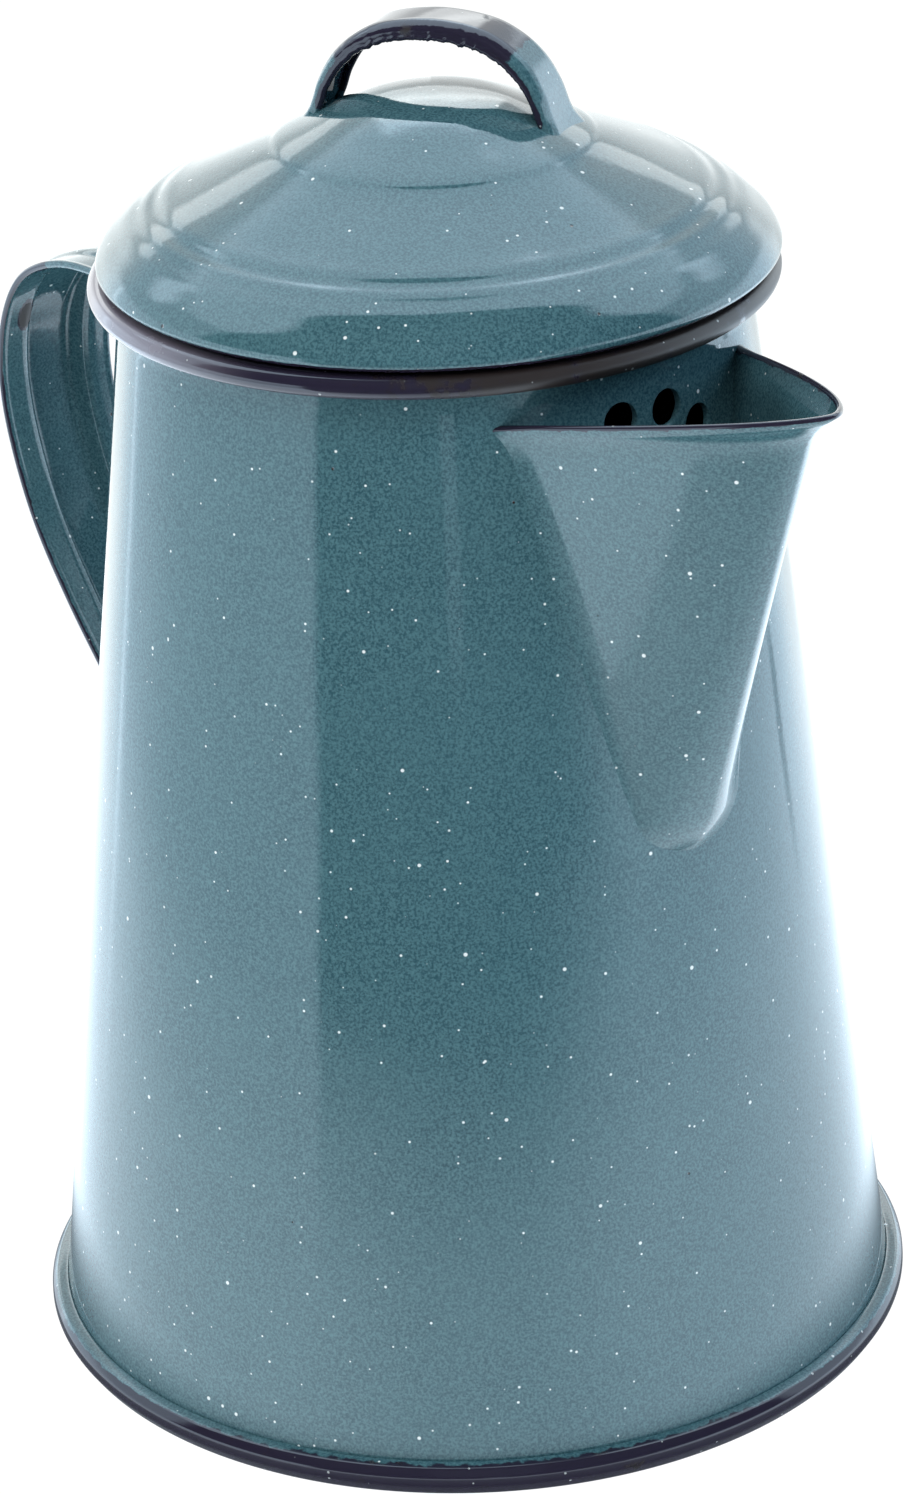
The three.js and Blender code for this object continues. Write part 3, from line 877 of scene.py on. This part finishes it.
def side_boards(room, swing, z):
    """How bright the boards at either side are. swing is 0 towards the camera, positive to its right."""
    rad = math.radians
    left = room.total(room.ramp(swing, rad(-42), rad(-46), 0, 1.80),
                      room.ramp(swing, rad(-100), rad(-120), 0, 0.15),
                      room.ramp(swing, rad(-129), rad(-132), 0, 0.35),
                      room.product(room.band(swing, rad(-135.5), rad(-133), rad(0.8)), 0.7))
    spout_side = room.math("MAXIMUM", room.ramp(swing, rad(28), rad(56)), room.ramp(z, -0.21, -0.26))
    gap = room.product(room.band(swing, rad(124.5), rad(128), rad(1)), room.band(z, -0.345, -0.305, 0.01))
    right = room.total(room.product(room.ramp(swing, rad(12), rad(58), 0, 1.95), spout_side),
                       room.ramp(swing, rad(60), rad(95), 0, 0.45),
                       room.ramp(swing, rad(140), rad(160), 0, -0.55),
                       room.product(gap, -1.3))
    return room.total(left, right)


def ceiling_boards(room, swing, towards, right, z):
    """The brightness of the boards and lamps overhead, which end above the camera."""
    rad = math.radians
    back_board = room.product(room.band(right, -0.20, 0.20, 0.03), room.band(z, 0.40, 0.80, 0.05), 2.4)
    low_back = room.product(room.band(right, -0.52, 0.52, 0.05), room.band(z, 0.30, 0.44, 0.02), 1.5)
    aside = room.math("ABSOLUTE", swing)
    lamps = room.product(room.band(aside, rad(121), rad(130), rad(3)), room.band(z, 0.48, 0.64, 0.05),
                         2.2)
    boards = room.total(room.ramp(z, 0.58, 0.66, 1.7, 2.9), back_board, low_back, lamps)
    return room.product(boards, room.ramp(towards, 0.10, 0.02, 0.04, 1))


def studio_world():
    """What the gloss mirrors: white boards behind, beside and above the pot, and a dark room in front."""
    world = bpy.data.worlds.new("studio")
    world.use_nodes = True
    bpy.context.scene.world = world
    room = Nodes(world.node_tree)
    x, y, z = room.split(room.add("ShaderNodeTexCoord").outputs["Generated"])
    towards = towards_camera(room, x, y)
    right = right_of_camera(room, x, y)
    swing = room.math("ARCTAN2", right, towards)

    behind = room.math("SUBTRACT", 1.0, room.ramp(towards, -0.80, -0.92, 0, 0.25))
    beside = room.ramp(towards, -0.85, -0.5)
    near_table = room.total(1.0, room.product(room.ramp(z, -0.30, -0.42, 0, 0.7), beside),
                            room.ramp(z, -0.20, -0.02, 0, 0.25))
    boards = room.product(side_boards(room, swing, z), behind, near_table)
    stand = room.product(room.band(swing, math.radians(-0.3), math.radians(4.6), math.radians(0.8)),
                         room.ramp(z, -0.20, -0.165, 0, 0.6))
    low = room.total(boards, stand, 0.12)
    raised = room.ramp(z, 0.16, 0.28)
    level = room.total(room.product(low, room.math("SUBTRACT", 1.0, raised)),
                       room.product(ceiling_boards(room, swing, towards, right, z), raised))

    cool = room.ramp(towards, -0.92, -0.60)         # the boards are bluer than the wall behind the pot
    tint = room.add("ShaderNodeCombineColor")
    room.put(room.math("MULTIPLY_ADD", cool, -0.16, 0.96), tint.inputs["Red"])
    room.put(1.0, tint.inputs["Green"])
    room.put(room.math("MULTIPLY_ADD", cool, 0.17, 1.0), tint.inputs["Blue"])
    shine = room.tree.nodes["Background"]
    room.put(tint.outputs["Color"], shine.inputs["Color"])
    room.put(level, shine.inputs["Strength"])
    world.cycles_visibility.camera = False
    world.cycles_visibility.diffuse = False


def disc(name, radius, height, material):
    """A flat round part of the stage."""
    mesh = bpy.data.meshes.new(name)
    count = 96
    turns = [2 * math.pi * k / count for k in range(count)]
    points = [(radius * math.cos(a), radius * math.sin(a), height) for a in turns]
    mesh.from_pydata(points, [], [tuple(range(count))])
    mesh.materials.append(material)
    piece = new_object(name, mesh)
    return piece


def white_material(name, base, roughness, light):
    """A surface of a plain base colour that gives off white light."""
    shader = Shader(name)
    shader.surface.inputs["Base Color"].default_value = base
    shader.surface.inputs["Emission Color"].default_value = (1, 1, 1, 1)
    shader.surface.inputs["Emission Strength"].default_value = light
    shader.surface.inputs["Roughness"].default_value = roughness
    return shader.material


def glow_material():
    """A patch of light round the pot that is brightest at its sides and fades out."""
    glow = Shader("floor_glow")
    glow.tree.nodes.remove(glow.surface)
    x, y, _ = glow.split(glow.place)
    reach = glow.math("SQRT", glow.total(glow.product(x, x), glow.product(y, y)))
    aside = glow.math("ABSOLUTE", glow.math("DIVIDE", right_of_camera(glow, x, y), reach))
    light = glow.add("ShaderNodeEmission")
    light.inputs["Color"].default_value = (0.86, 1.0, 1.13, 1)
    strength = glow.product(glow.ramp(aside, 0.1, 0.7, 1.85, 2.65),
                            glow.ramp(reach, 0.078, 0.105, 0.1, 1))
    glow.put(strength, light.inputs["Strength"])
    both = glow.add("ShaderNodeMixShader")
    glow.put(glow.ramp(reach, 0.12, 0.44, 1, 0), both.inputs[0])
    glow.put(glow.add("ShaderNodeBsdfTransparent").outputs[0], both.inputs[1])
    glow.put(light.outputs[0], both.inputs[2])
    glow.put(both.outputs[0], glow.tree.nodes["Material Output"].inputs["Surface"])
    return glow.material


def floor():
    """A white table that only lights the pot, and the patch round the pot that the gloss mirrors of it."""
    paper = white_material("white_floor", (0.86, 0.87, 0.88, 1), 0.9, TABLE_LIGHT)
    table = disc("table", 6, -0.0001, paper)
    table.visible_glossy = False
    table.visible_camera = False

    patch = disc("floor_glow", 0.5, 0.0001, glow_material())
    patch.visible_camera = False
    patch.visible_diffuse = False
    patch.visible_shadow = False


def backdrop():
    """A white dome far away, which only the camera sees."""
    edit = bmesh.new()
    bmesh.ops.create_uvsphere(edit, u_segments=48, v_segments=24, radius=8)
    mesh = bpy.data.meshes.new("backdrop")
    edit.to_mesh(mesh)
    edit.free()
    mesh.materials.append(white_material("white_backdrop", (0, 0, 0, 1), 0.5, BACKDROP_LIGHT))
    dome = new_object("backdrop", mesh)
    dome.visible_diffuse = False
    dome.visible_glossy = False
    dome.visible_shadow = False


def camera():
    """A long lens that looks a little down on the pot, between its spout and its side handle."""
    distance, height = 0.8102, 0.4738
    look_down = math.radians(24.585)
    tilt = math.radians(-2.51)
    data = bpy.data.cameras.new("camera")
    data.sensor_fit = "VERTICAL"
    data.sensor_height = 36
    data.lens = 127
    eye = new_object("camera", data)
    place = Vector((distance * math.cos(VIEW_AZIMUTH), distance * math.sin(VIEW_AZIMUTH), height))
    swing = Matrix.Rotation(VIEW_AZIMUTH + math.pi / 2, 4, "Z")
    tip = Matrix.Rotation(math.pi / 2 - look_down, 4, "X")
    roll = Matrix.Rotation(tilt, 4, "Z")
    eye.matrix_world = Matrix.Translation(place) @ swing @ tip @ roll
    bpy.context.scene.camera = eye


def main():
    camera()
    studio_world()
    floor()
    backdrop()
    plain_light("left_box", 9, 0.9, (-0.9, -1.1, 0.9))
    plain_light("right_box", 9, 0.9, (1.2, 0.9, 0.9), (0.66, 0.82, 1))
    plain_light("front_fill", 7, 0.9, (0.5, -0.8, 1.2))
    plain_light("top_box", 12, 1.2, (0.3, -0.2, 1.7))
    enamel = enamel_material("speckled_enamel", 0.0002)
    lid_enamel = enamel_material("wavy_enamel", 0.0016)
    metal = aluminium_material("spun_aluminium")
    for build in (body_shell, bottom_pan, rim_ring, spout, side_handle):
        build(enamel)
    for build in (lid_shell, lid_locating_ring, lid_handle):
        build(lid_enamel)
    for build in (pump, basket, basket_cover):
        build(metal)
    bpy.context.scene.view_settings.view_transform = "Standard"


main()
